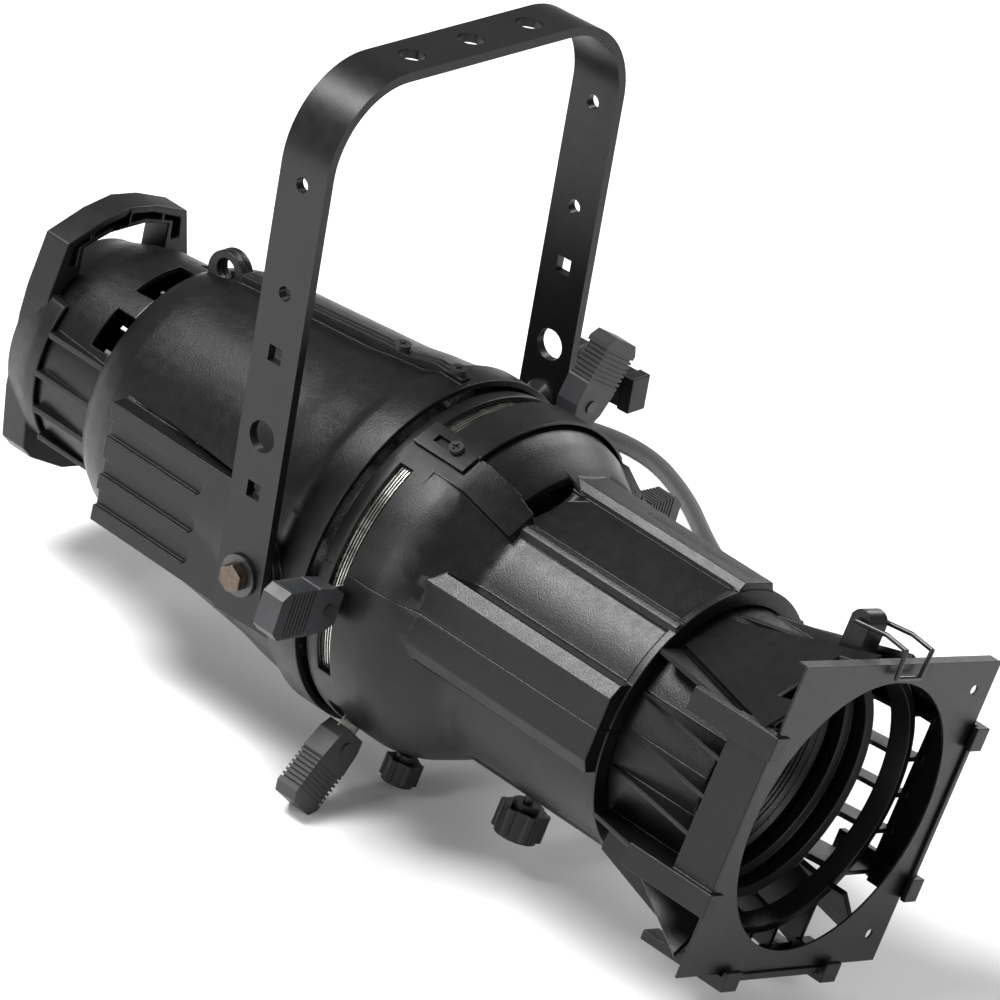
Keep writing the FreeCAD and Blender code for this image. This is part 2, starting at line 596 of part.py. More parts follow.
def lens_tube():
    outer = [("{tube_radius}", "{tube_rear}"), ("{tube_radius}", -262), (66, -268), (71, -272),
             (71, "{tube_front}")]
    tube = turned("tube_outside", solid_profile(outer))
    parts = [tube]
    wall = 83.0
    for quarter, label in ((90, "right"), (180, "bottom"), (270, "left")):
        pieces = [box("wall_" + label, (92, 24, 3.5), (-46, -296, wall - 3.5))]
        for k, across in enumerate((-43.2, -19, 0, 19, 40.7)):
            pieces.append(extruded("gusset_%s_%d" % (label, k),
                                   [(-208, 40), (-208, 61.5), (-276, wall - 1), (-276, 40)], 2.5, "YZ_Plane"))
            bind(pieces[-1], "Placement.Base.x", across)
        for end in (-1, 1):
            low = 34 if end > 0 else -46
            pieces.append(box("hook_%s_%d" % (label, end), (12, 3.0, 10), (low, -299, wall - 6.5)))
            pieces.append(box("hook_arm_%s_%d" % (label, end), (12, 51, 5), (low, -299, wall - 1.5)))
            pieces.append(box("stop_%s_%d" % (label, end), (12, 14, 7), (low, -290.8, wall - 9)))
        parts.append(copy_turned("side_" + label, fuse("side_block_" + label, *pieces), (0, 1, 0), quarter))
    for side in (-1, 1):
        roof = doc.addObject("Part::Loft", "roof_%d" % side)
        roof.Sections = [
            section("roof_rear_%d" % side, -209, [(46 * side, 46), (22 * side, 58), (20.5 * side, 55),
                                                  (44.5 * side, 43)]),
            section("roof_front_%d" % side, -288, [(83 * side, 46), (13 * side, 81), (11.5 * side, 78),
                                                   (81.5 * side, 43)])]
        roof.Solid, roof.Ruled = True, True
        slot = box("roof_slot_%d" % side, (38, 8, 50), (22 if side > 0 else -60, -281, 40))
        parts.append(cut("roof_cut_%d" % side, roof, slot))
        web = extruded("roof_web_%d" % side, [(-209, 50), (-209, 62.2), (-288, 79), (-288, 62)], 3.0, "YZ_Plane", True)
        parts.append(copy_turned("roof_web_turned_%d" % side, web, (0, 1, 0), 12 * side))
        low = extruded("low_gusset_%d" % side,
                       [(-208, 0), (-208, 61.5), (-285, 104), (-285, 0)], 3.0, "YZ_Plane", True)
        parts.append(copy_turned("low_gusset_turned_%d" % side, low, (0, 1, 0), 135 * side))
    parts.append(box("latch_block", (14, 12, 30), (-7, -273, 59)))
    parts.append(rod("latch_hood", 6.0, 14, (-7, -267, 87), (1, 0, 0)))
    solid = fuse("tube_solid", *parts)
    bore = turned("tube_bore_body",
                  solid_profile([("{tube_bore}", "{tube_rear} + 1"), ("{tube_bore}", -232), (60, -234),
                                 (60, -237), ("{tube_bore}", -239), ("{tube_bore}", -244), (61, -246),
                                 (61, -249), (58.5, -251), (58.5, -256), (63, -258), (67, "{tube_front}"),
                                 (67, -300)]))
    pin = rod("latch_pin_hole", 1.35, 30, (-15, -267, 87.5), (1, 0, 0))
    stud_hole = rod("focus_stud_hole", 2.44, 20, (0, -134, -70))
    place(cut("lens_tube_cut", solid, bore, pin, stud_hole), "lens_tube", "barrel")


def lens(name, y, thick, crown):
    """A plano-convex lens with its crown towards the beam."""
    half = dim("lens_radius")
    ball = (half * half + crown * crown) / (2 * crown)
    sphere = doc.addObject("Part::Sphere", name + "_sphere")
    sphere.Radius = ball
    seat(sphere, (0, y - thick - crown + ball, 0))
    disc = rod(name + "_disc", "{lens_radius}", thick + crown, (0, y - thick - crown, 0), (0, 1, 0))
    place(common(name + "_common", sphere, disc), name, "barrel")


def lenses():
    lens("lens_rear", -135, 3.0, 12.0)
    lens("lens_front", -192, 3.0, 14.0)
    rings = [turned("lens_ring_%d" % k, [(50, low), ("{tube_bore}", low), ("{tube_bore}", low + 3.0), (50, low + 3.0)])
             for k, low in enumerate((-134.8, -191.8))]
    place(gather("lens_ring_set", *rings), "lens_rings", "barrel")


def colour_frame():
    half, thick = "{frame_half}", "{frame_thick}"
    plate = box("frame_plate", ("2 * " + half, thick, "2 * " + half), ("-" + half, "{frame_front}", "-" + half))
    opening = rod("frame_hole", "{frame_opening}", 6, (0, "{frame_front} - 2", 0), (0, 1, 0))
    holes = [rod("frame_rivet_%d" % side, 2.4, 6, (66, "{frame_front} - 2", 64.5 * side), (0, 1, 0))
             for side in (-1, 1)]
    place(cut("colour_frame_cut", plate, opening, *holes), "colour_frame", "barrel")


def wire_latch():
    """One loop of spring wire: it turns in the tube's lugs and its nose drops in front of the frame."""
    points = [(-10.5, -267, 87.5), (-10.5, -285, 89.5), (-10.5, -297.6, 88), (-9.5, -297.8, 74),
              (9.5, -297.8, 74), (10.5, -297.6, 88), (10.5, -285, 89.5), (10.5, -267, 87.5)]
    wire = doc.addObject("Part::Feature", "latch_wire")
    pieces = []
    for start, end in zip(points, points[1:]):
        way = V(*end) - V(*start)
        pieces.append(Part.makeCylinder(1.2, way.Length, V(*start), way))
    pieces += [Part.makeSphere(1.2, V(*point)) for point in points]
    for point, side in ((points[0], 1), (points[-1], -1)):
        pieces.append(Part.makeCylinder(1.2, 7.5, V(*point), V(side, 0, 0)))
    wire.Shape = pieces[0].multiFuse(pieces[1:]).removeSplitter()
    place(wire, "wire_latch", "barrel")


# ---------------------------------------------------------------- lamp end

RING_OUTSIDE = [(-46, -50), (-50, -20), (-50, 20), (-48, 36), (-41, 64), (-18, 72), (0, 75), (18, 72), (41, 64),
                (48, 36), (50, 20), (50, -20), (46, -50), (39, -57), (15, -69), (0, -72), (-15, -69), (-39, -57)]
TOP_WINDOW = [(-29, 30), (-29, 59), (-12, 63.5), (12, 63.5), (29, 59), (29, 30)]
LOW_WINDOW = [(-30, -30), (-30, -51), (-12, -59), (12, -59), (30, -51), (30, -30)]
CHANNEL = [(-38, 50), (-36.5, 61), (-16, 68.5), (0, 71), (16, 68.5), (36.5, 61), (38, 50),
           (32.5, 50), (32, 60.5), (13, 66), (-13, 66), (-32, 60.5), (-32.5, 50)]
CAP_OUTSIDE = [("{cap_radius} - 1.5", "{cap_front}"), ("{cap_radius}", 150), (57.5, 184), (54, 197), (50, 208),
               (48.5, 213), (47.5, 218), (45, "{cap_rear}")]


def rear_cap():
    shell = turned("cap_outside", solid_profile(CAP_OUTSIDE))
    ridges = []
    for side in (-1, 1):
        for k, level in enumerate((24, 4, -16, -34)):
            reach = math.sqrt(62.5 ** 2 - level ** 2)
            low = -reach if side < 0 else reach - 24
            ridges.append(box("cap_ridge_%d_%d" % (side + 1, k), (24, 38, 3), (low, "{cap_front}", level - 1.5)))
    cavity = turned("cap_cavity", solid_profile([(57, "{cap_front} - 1"), (57.4, 152), (54.5, 183), (51, 196),
                                                 (47, 206)]))
    recess = turned("cap_recess", solid_profile([(38, 208.5), (38, "{cap_rear} + 1")]))
    notches = []
    for number, (angle, wide) in enumerate(((-50, 22), (-12, 30), (26, 22), (62, 22))):
        notch = box("cap_notch_%d" % number, (wide, 17, 30), (-wide / 2, "{cap_front} - 2", 44))
        notches.append(copy_turned("cap_notch_turned_%d" % number, notch, (0, 1, 0), angle))
    centre = rod("cap_centre", 9.2, 20, (0, 195, 0), (0, 1, 0))
    exit_hole = rod("cord_exit_hole", 7.0, 30, (45, 178, -6), (1, 0, 0))
    cap = cut("cap_hollow", fuse("cap_solid", shell, *ridges), cavity, recess, centre, exit_hole, *notches)
    place(cap, "rear_cap")
    plate = extruded_y("ring_plate", RING_OUTSIDE, "{ring_rear}", "{ring_depth}")
    collar = turned("ring_collar", [(40, 188), (59.6, 188), (58.8, 197), (53, 212), (52, "{ring_rear}"),
                                    (40, "{ring_rear}")])
    cheeks = common("ring_cheeks", collar, box("cheek_keep", (130, 40, 74), (-65, 180, -38)))
    tools = [extruded_y("ring_window_%d" % k, shape, "{ring_rear} + 3", "{ring_depth} + 6")
             for k, shape in enumerate((TOP_WINDOW, LOW_WINDOW))]
    channel = extruded_y("ring_channel", CHANNEL, 210, 16)
    webs = [box("ring_web_%d" % k, (2.4, 30, 30), (x - 1.2, 185, 55)) for k, x in enumerate((-24, 0, 24))]
    tools.append(cut("ring_channel_cut", channel, *webs))
    envelope = turned("cap_envelope", solid_profile([(57.6, 187), (57.5, 187.1), (54.4, 197.1), (50.4, 208.1),
                                                     (48.9, 213.1), (48.6, 217)]))
    handle = cut("ring_with_windows", plate, *tools)
    place(cut("handle_ring_cut", fuse("ring_and_cheeks", handle, cheeks), envelope), "handle_ring")


def heat_sink():
    """A finned aluminium ring behind the reflector that carries the lamp base."""
    hub = turned("sink_hub", [(14, 126), (24, 126), (24, 138), ("{sink_radius}", 138), ("{sink_radius}", 142),
                              (24, 142), (24, 160), (14, 160)])
    fin = box("sink_fin", (1.8, 16, "{sink_radius} + 2.5 - 22"), (-0.9, 142, 22))
    fins = [copy_turned("sink_fin_%d" % k, fin, (0, 1, 0), 15 * k) for k in range(24)]
    place(fuse("sink_fuse", hub, *fins), "heat_sink")


def lamp():
    base = fuse("base_fuse", rod("base_block", 13.8, 34, (0, 118, 0), (0, 1, 0)),
                rod("base_collar", 17, 4, (0, 120, 0), (0, 1, 0)))
    place(base, "lamp_base")
    tube = rod("lamp_tube", "{lamp_radius}", 58, (0, 60, 0), (0, 1, 0))
    tip = doc.addObject("Part::Sphere", "lamp_tip")
    bind(tip, "Radius", "{lamp_radius}")
    seat(tip, (0, 60, 0))
    inner = rod("lamp_inside", "{lamp_radius} - 1.1", 50, (0, 60, 0), (0, 1, 0))
    place(cut("lamp_glass_cut", fuse("lamp_glass_fuse", tube, tip), inner), "lamp_glass")
    coils = []
    for k in range(4):
        x, z = 4.2 * math.cos(math.pi / 2 * k + 0.78), 4.2 * math.sin(math.pi / 2 * k + 0.78)
        coils.append(rod("filament_%d" % k, 1.1, 22, (x, 66, z), (0, 1, 0)))
    legs = rod("filament_stem", 6.4, 4, (0, 87.5, 0), (0, 1, 0))
    place(fuse("filament_fuse", legs, *coils), "lamp_filament")


def centring_knob():
    hub = fuse("centring_hub", rod("centring_stud", 9.0, 22, (0, 190, 0), (0, 1, 0)),
               rod("centring_disc", 15.0, 11, (0, 209, 0), (0, 1, 0)))
    scallops = []
    for k in range(10):
        angle = math.radians(36 * k)
        scallops.append(rod("scallop_%d" % k, 2.6, 14, (16.4 * math.cos(angle), 208, 16.4 * math.sin(angle)),
                            (0, 1, 0)))
    place(cut("centring_cut", hub, *scallops), "centring_knob")


# ---------------------------------------------------------------- cord

# route in the part's own frame, from the strain relief to the plug
CORD_ROUTE = [(80, 217.5, 104.7), (107, 217.5, 104.1), (134, 223, 94), (159, 230, 73.5), (181, 237, 47.5),
              (206, 244, 24), (240, 243, 9), (278, 226, 4.9), (312, 196, 4.9), (331, 152, 4.9),
              (314, 106, 4.9), (286, 66, 4.9), (262, 22, 4.9), (228, -14, 4.9), (180, -28, 4.9),
              (132, -14, 4.9), (96, 20, 4.9), (82, 68, 4.9), (98, 114, 4.9), (138, 142, 4.9),
              (186, 144, 4.9)]


def rounded_path(points):
    """Straight runs joined by tangent arcs; each arc is as large as its two runs allow."""
    edges, start, radii = [], V(*points[0]), []
    for before, corner, after in zip(points, points[1:], points[2:]):
        before, corner, after = V(*before), V(*corner), V(*after)
        back, on = before - corner, after - corner
        turn = math.pi - back.getAngle(on)
        reach = 0.45 * min(back.Length, on.Length)
        radii.append(round(reach / math.tan(turn / 2), 1))
        first, last = corner + back.normalize() * reach, corner + on.normalize() * reach
        middle_way = (back + on).normalize()
        height = radii[-1] / math.cos(turn / 2) - radii[-1]
        edges.append(Part.LineSegment(start, first).toShape())
        edges.append(Part.Arc(first, corner + middle_way * height, last).toShape())
        start = last
    edges.append(Part.LineSegment(start, V(*points[-1])).toShape())
    print("cord radii", radii)
    return Part.Wire(edges)


def cord():
    radius = dim("cord_diameter") / 2
    path = rounded_path(CORD_ROUTE)
    start, tangent = V(*CORD_ROUTE[0]), (V(*CORD_ROUTE[1]) - V(*CORD_ROUTE[0])).normalize()
    section = Part.Wire([Part.makeCircle(radius, start, tangent)])
    tube = path.makePipeShell([section], True, False)
    print("cord length", round(path.Length, 1), "volume ratio",
          round(tube.Volume / (math.pi * radius ** 2 * path.Length), 4))
    item = doc.addObject("Part::Feature", "power_cord")
    item.Shape = tube
    item.Label = "power_cord"
    FINISHED.append(item)
    relief = Part.makeCone(8.0, radius, 20, start - tangent * 20, tangent)
    relief = relief.fuse(Part.makeCylinder(6.9, 14, start - tangent * 32, tangent))
    gland = doc.addObject("Part::Feature", "strain_relief")
    gland.Shape = relief.removeSplitter()
    gland.Label = "strain_relief"
    FINISHED.append(gland)
    end, way = V(*CORD_ROUTE[-1]), (V(*CORD_ROUTE[-1]) - V(*CORD_ROUTE[-2])).normalize()
    turn = FreeCAD.Rotation(V(1, 0, 0), way)
    body = Part.makeBox(58, 36, 24, V(12, -18, -4.9)).fuse(Part.makeBox(12.5, 18, 14, V(0, -9, -4.5)))
    pins = Part.makeCompound([Part.makeCylinder(3.5, 22, V(70, y, 7), V(1, 0, 0)) for y in (-11, 0, 11)])
    for label, shape in (("plug_body", body.removeSplitter()), ("plug_pins", pins)):
        piece = doc.addObject("Part::Feature", label)
        piece.Shape = shape
        piece.Placement = FreeCAD.Placement(V(end.x, end.y, 4.9), turn)
        piece.Label = label
        FINISHED.append(piece)


# ---------------------------------------------------------------- build, test, write

def build():
    housing_halves()
    seam_screws()
    reflector()
    pivot_fasteners()
    yoke()
    lock_bolt_and_knob()
    barrel_halves()
    gate()
    gate_cover()
    for row in SHUTTERS:
        shutter(*row)
    barrel_knobs()
    lens_tube()
    lenses()
    colour_frame()
    wire_latch()
    rear_cap()
    heat_sink()
    lamp()
    centring_knob()
    cord()
    doc.recompute()


def check_and_write():
    bad = [item.Label + " " + item.getStatusString() for item in doc.Objects
           if "Invalid" in item.State or "Error" in item.State]
    for item in FINISHED:
        if item.Shape.isNull() or not item.Shape.isValid() or not item.Shape.Solids:
            bad.append(item.Label)
    if bad:
        raise RuntimeError("these did not build: %s" % ", ".join(bad))
    os.makedirs("parts", exist_ok=True)
    whole = FreeCAD.BoundBox()
    for item in FINISHED:
        item.Shape.exportStep("parts/%s.step" % item.Label)
        limits = item.Shape.BoundBox
        if item.Label not in ("power_cord", "strain_relief", "plug_body", "plug_pins"):
            whole.add(limits)
        print("%-18s %3d solid(s) %9.0f mm3" % (item.Label, len(item.Shape.Solids), item.Shape.Volume))
    print("box without the cord", whole)


build()
check_and_write()
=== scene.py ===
"""Looks of the ellipsoidal spotlight: camera, light, materials and finer pieces round the frame."""
import json
import math
import bmesh
import bpy
from mathutils import Matrix, Vector


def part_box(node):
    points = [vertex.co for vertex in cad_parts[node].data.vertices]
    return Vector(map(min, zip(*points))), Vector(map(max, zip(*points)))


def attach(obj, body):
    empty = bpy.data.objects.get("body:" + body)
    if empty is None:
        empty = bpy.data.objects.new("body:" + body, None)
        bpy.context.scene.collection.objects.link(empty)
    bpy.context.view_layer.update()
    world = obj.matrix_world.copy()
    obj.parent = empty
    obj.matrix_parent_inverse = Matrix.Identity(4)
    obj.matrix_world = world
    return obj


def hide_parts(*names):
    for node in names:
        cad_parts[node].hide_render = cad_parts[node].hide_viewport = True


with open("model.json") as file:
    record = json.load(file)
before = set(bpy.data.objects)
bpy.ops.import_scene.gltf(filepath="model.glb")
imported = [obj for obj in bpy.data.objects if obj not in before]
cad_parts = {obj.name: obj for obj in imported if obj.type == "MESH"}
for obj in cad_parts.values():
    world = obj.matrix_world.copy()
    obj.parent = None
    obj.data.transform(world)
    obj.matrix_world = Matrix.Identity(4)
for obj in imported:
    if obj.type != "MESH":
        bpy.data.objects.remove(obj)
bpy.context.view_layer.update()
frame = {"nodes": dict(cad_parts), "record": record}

nodes = frame["nodes"]
MM = 0.001

# the frames of the CAD: the pivot point, upright for the housing and rolled for the barrel
PIVOT = Vector((-0.00995, 0.0395, 0.11072))
PLAIN = Matrix.Translation(PIVOT)
BARREL = PLAIN @ Matrix.Rotation(math.radians(15.0), 4, "Y")


# ---------------------------------------------------------------- camera and light

FOCAL_LENGTH, SENSOR_WIDTH = 252.0, 36.0
CLIP_START, CLIP_END = 0.5, 60.0
EYE = (-2.32432, -1.79576, 1.71362)
EYE_RIGHT = Vector((0.67560992, -0.7111621, 0.19442144))
EYE_UP = Vector((0.23063766, 0.45434301, 0.86045261))
EYE_BACK = Vector((-0.70025531, -0.53648942, 0.47097941))

WORLD_STRENGTH = 0.22
LAMPS = [  # name, place, aim, size in metres, power in watts
    ("key", (-0.8, 0.9, 2.2), (0, 0, 0.1), (1.0, 1.0), 92),
    ("side", (-2.4, 0.5, 1.0), (0, 0.05, 0.12), (0.5, 1.2), 20),
    ("front", (-0.5, -2.4, 1.5), (0, 0, 0.12), (1.2, 0.5), 20),
    ("rim", (1.9, 0.4, 1.3), (0, 0, 0.15), (0.6, 1.5), 22),
]


def link(name, data):
    made = bpy.data.objects.new(name, data)
    bpy.context.scene.collection.objects.link(made)
    return made


def camera():
    data = bpy.data.cameras.new("camera")
    data.lens, data.sensor_width = FOCAL_LENGTH, SENSOR_WIDTH
    data.clip_start, data.clip_end = CLIP_START, CLIP_END
    eye = link("camera", data)
    axes = Matrix((EYE_RIGHT, EYE_UP, EYE_BACK)).transposed().to_4x4()
    eye.matrix_world = Matrix.Translation(EYE) @ axes
    bpy.context.scene.camera = eye


def lamp(name, place, aim, size, power):
    data = bpy.data.lights.new(name, "AREA")
    data.shape, data.size, data.size_y = "RECTANGLE", size[0], size[1]
    data.energy = power
    light = link(name, data)
    light.location = place
    light.rotation_euler = (Vector(aim) - Vector(place)).to_track_quat("-Z", "Y").to_euler()


def studio():
    world = bpy.data.worlds.new("studio")
    bpy.context.scene.world = world
    world.use_nodes = True
    backdrop = world.node_tree.nodes["Background"]
    backdrop.inputs["Color"].default_value = (1.0, 1.0, 1.0, 1.0)
    backdrop.inputs["Strength"].default_value = WORLD_STRENGTH
    for row in LAMPS:
        lamp(*row)
    bpy.context.scene.view_settings.view_transform = "Standard"


# ---------------------------------------------------------------- materials


class Surface:
    """One procedural material: a Principled shader with noise in its colour, roughness and bump."""

    def __init__(self, name, colour, rough, metal=0.0, **sockets):
        self.made = bpy.data.materials.new(name)
        self.made.use_nodes = True
        self.tree = self.made.node_tree
        self.shader = self.tree.nodes["Principled BSDF"]
        self.set("Base Color", (*colour, 1.0))
        self.set("Roughness", rough)
        self.set("Metallic", metal)
        for key, value in sockets.items():
            self.set(key.replace("_", " "), value)
        self.where = self.tree.nodes.new("ShaderNodeTexCoord").outputs["Object"]
        self.last_bump = None

    def set(self, socket, value):
        self.shader.inputs[socket].default_value = value

    def node(self, kind, **inputs):
        made = self.tree.nodes.new("ShaderNode" + kind)
        for key, value in inputs.items():
            socket = made.inputs[key]
            if isinstance(value, bpy.types.NodeSocket):
                self.tree.links.new(value, socket)
            else:
                socket.default_value = value
        return made

    def noise(self, scale, detail=3.0, rough=0.55, stretch=None):
        where = self.where
        if stretch:
            where = self.node("Mapping", Vector=where, Scale=stretch).outputs[0]
        made = self.node("TexNoise", Vector=where, Scale=scale, Detail=detail, Roughness=rough)
        return made.outputs[0]

    def spread(self, source, low, high, floor=0.0, roof=1.0):
        made = self.node("MapRange")
        self.tree.links.new(source, made.inputs["Value"])
        keys = ("From Min", "From Max", "To Min", "To Max")
        for key, value in zip(keys, (low, high, floor, roof)):
            made.inputs[key].default_value = value
        return made.outputs["Result"]

    def tint(self, factor, low, high):
        ramp = self.tree.nodes.new("ShaderNodeValToRGB")
        ramp.color_ramp.elements[0].color = (*low, 1.0)
        ramp.color_ramp.elements[1].color = (*high, 1.0)
        self.tree.links.new(factor, ramp.inputs["Fac"])
        self.tree.links.new(ramp.outputs["Color"], self.shader.inputs["Base Color"])

    def roughen(self, factor, low, high):
        value = self.spread(factor, 0.3, 0.7, low, high)
        self.tree.links.new(value, self.shader.inputs["Roughness"])

    def bump(self, height, strength, distance):
        made = self.node("Bump", Height=height, Strength=strength, Distance=distance)
        if self.last_bump:
            self.tree.links.new(self.last_bump, made.inputs["Normal"])
        self.last_bump = made.outputs["Normal"]
        self.tree.links.new(self.last_bump, self.shader.inputs["Normal"])


def shade(colour, by):
    return tuple(min(1.0, part * by) for part in colour)


def coated(name, colour, rough, grain, depth, spread=0.35, level=0.5):
    """A painted or moulded surface: grain in bumps per metre, depth in metres, specular level."""
    made = Surface(name, colour, rough, Specular_IOR_Level=level)
    patches = made.spread(made.noise(34.0, 4.0), 0.3, 0.7)
    made.tint(patches, shade(colour, 1 - spread), shade(colour, 1 + spread))
    made.roughen(made.noise(160.0, 5.0), rough - 0.03, rough + 0.05)
    made.bump(made.noise(grain, 2.0, 0.6), 0.6, depth)
    made.bump(made.noise(grain * 0.5, 2.0), 0.2, depth)
    return made.made


def metal(name, colour, rough, stretch, depth, spread=0.12):
    """Bare metal: stretch draws its marks out along one axis, depth is their height in metres."""
    made = Surface(name, colour, rough, 1.0)
    marks = made.noise(260.0, 4.0, 0.6, stretch)
    shades = made.spread(marks, 0.25, 0.75)
    made.tint(shades, shade(colour, 1 - spread), shade(colour, 1 + spread))
    made.roughen(made.noise(120.0, 4.0, 0.6, stretch), rough - 0.06, rough + 0.1)
    made.bump(marks, 0.3, depth)
    return made.made


def glassy(name, tint, rough=0.02):
    made = Surface(name, tint, rough, Transmission_Weight=1.0, IOR=1.5)
    made.roughen(made.noise(45.0, 3.0), rough, rough + 0.03)
    return made.made


def braided(name):
    """A glass-fibre sleeve: two sets of diagonal strands, laid out along the lead by its UVs."""
    made = Surface(name, (0.045, 0.045, 0.045), 0.62, Sheen_Weight=0.25)
    where = made.tree.nodes.new("ShaderNodeTexCoord").outputs["UV"]
    strands = []
    for lean in (0.6, -0.6):
        turned_uv = made.node("Mapping", Vector=where, Rotation=(0.0, 0.0, lean)).outputs[0]
        strands.append(made.node("TexWave", Vector=turned_uv, Scale=1.0).outputs["Fac"])
    weave = made.tree.nodes.new("ShaderNodeMath")
    weave.operation = "MULTIPLY"
    for strand, socket in zip(strands, weave.inputs):
        made.tree.links.new(strand, socket)
    height = weave.outputs[0]
    made.tint(made.spread(height, 0.05, 0.8), (0.006, 0.006, 0.006), (0.06, 0.06, 0.057))
    made.bump(height, 0.8, 0.0005)
    made.bump(made.noise(2600.0), 0.4, 0.0002)
    return made.made


EVEN, AROUND_Y = (1.0, 1.0, 1.0), (1.0, 0.04, 1.0)
SLOTS = {  # the maker of each slot's material and what it is given after the name
    "cast_black": (coated, (0.0032, 0.0032, 0.0036), 0.34, 1500.0, 0.00020, 0.35, 0.34),
    "screw_black": (coated, (0.02, 0.02, 0.021), 0.33, 2400.0, 0.00004),
    "reflector_glass": (metal, (0.78, 0.78, 0.8), 0.12, EVEN, 0.00004),
    "steel_bright": (metal, (0.72, 0.7, 0.66), 0.24, AROUND_Y, 0.00003),
    "bolt_bronze": (metal, (0.13, 0.10, 0.08), 0.34, EVEN, 0.00008, 0.35),
    "washer_dark": (metal, (0.09, 0.09, 0.092), 0.36, EVEN, 0.00003),
    "yoke_black": (coated, (0.0042, 0.0042, 0.0046), 0.32, 1700.0, 0.00008, 0.2, 0.36),
    "gloss_black_steel": (coated, (0.012, 0.012, 0.012), 0.22, 2600.0, 0.00003),
    "plastic_black": (coated, (0.005, 0.005, 0.0055), 0.40, 1600.0, 0.00012, 0.35, 0.38),
    "sheet_black": (coated, (0.0045, 0.0045, 0.005), 0.34, 1500.0, 0.00014, 0.35, 0.4),
    "lens_glass": (glassy, (0.9, 0.96, 0.94)),
    "wire_gloss_black": (coated, (0.010, 0.010, 0.010), 0.16, 2600.0, 0.00002),
    "sink_alloy": (metal, (0.30, 0.30, 0.29), 0.42, EVEN, 0.0001),
    "ceramic": (coated, (0.62, 0.60, 0.54), 0.35, 900.0, 0.00006, 0.08),
    "lamp_quartz": (glassy, (0.95, 0.96, 0.98)),
    "filament": (metal, (0.35, 0.33, 0.30), 0.4, EVEN, 0.00006),
    "rubber_black": (coated, (0.014, 0.014, 0.014), 0.62, 1800.0, 0.00007),
    "braid_grey": (braided,),
    "brass_pin": (metal, (0.72, 0.52, 0.24), 0.25, AROUND_Y, 0.00003),
    "handle_grey": (coated, (0.024, 0.025, 0.027), 0.46, 1600.0, 0.00008),
}
MATERIALS = {name: make(name, *looks) for name, (make, *looks) in SLOTS.items()}


# ---------------------------------------------------------------- the carried-over CAD nodes

EDGES = {  # the rounding of each node's sharp edges in metres
    "housing_left": 0.0006, "housing_right": 0.0006, "barrel_upper": 0.0006,
    "barrel_lower": 0.0006, "handle_ring": 0.0009, "rear_cap": 0.0006, "lens_tube": 0.0005,
    "colour_frame": 0.0003, "gate_cover": 0.0003, "lock_knob": 0.0007, "pivot_bolts": 0.0004,
}
UNMERGED = ("barrel_upper", "barrel_lower")  # their flat faces are not merged before the rounding
WELD_DISTANCE = 0.00001
FLAT_ANGLE, SHARP_ANGLE = math.radians(0.6), math.radians(32.0)


def dress(item, slot):
    item.data.materials.clear()
    item.data.materials.append(MATERIALS[slot])


def dress_nodes():
    """Every carried-over CAD node gets its slot's material."""
    for part in frame["record"]["subparts"]:
        dress(nodes[part["node"]], part["material_slot"])


def refine(item, width):
    """Rounds the sharp edges of a carried-over node by modifiers, its mesh left as it is."""
    item.modifiers.new("weld", "WELD").merge_threshold = WELD_DISTANCE
    if item.name not in UNMERGED:
        flat = item.modifiers.new("flat", "DECIMATE")
        flat.decimate_type, flat.angle_limit = "DISSOLVE", FLAT_ANGLE
    edge = item.modifiers.new("edge", "BEVEL")
    edge.width, edge.segments, edge.limit_method = width, 2, "ANGLE"
    edge.angle_limit, edge.use_clamp_overlap = SHARP_ANGLE, False
    item.modifiers.new("smooth", "WEIGHTED_NORMAL").keep_sharp = False


def refine_nodes():
    for name, width in EDGES.items():
        refine(nodes[name], width)


# ---------------------------------------------------------------- mesh tools


def skin(count, rings, around=False):
    """Quads between rings of count points: a closed turn if around, else capped at both ends."""
    faces = []
    for k in range(rings if around else rings - 1):
        near, far = k * count, (k + 1) % rings * count
        for j in range(count):
            after = (j + 1) % count
            faces.append((near + j, near + after, far + after, far + j))
    if not around:
        last = (rings - 1) * count
        faces += [tuple(range(count))[::-1], tuple(range(last, last + count))]
    return faces


def turned(profile, angle):
    """(radius, along) points in millimetres, turned by the angle about the Y axis."""
    return [(r * MM * math.sin(angle), y * MM, r * MM * math.cos(angle)) for r, y in profile]


def lathe(profile, steps):
    """The whole turn of a closed profile about the Y axis."""
    verts = []
    for k in range(steps):
        verts += turned(profile, 2 * math.pi * k / steps)
    return verts, skin(len(profile), steps, around=True)


def mesh_piece(name, verts, faces, place, slot, body, *replaced):
    mesh = bpy.data.meshes.new(name)
    mesh.from_pydata([place @ Vector(point) for point in verts], [], faces)
    shape = bmesh.new()
    shape.from_mesh(mesh)
    bmesh.ops.recalc_face_normals(shape, faces=shape.faces)
    shape.to_mesh(mesh)
    shape.free()
    made = link(name, mesh)
    dress(made, slot)
    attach(made, body)
    if replaced:
        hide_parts(*replaced)
    return made


def smooth(item, angle=35.0):
    item.data.shade_smooth()
    item.data.set_sharp_from_angle(angle=math.radians(angle))


# ---------------------------------------------------------------- lead

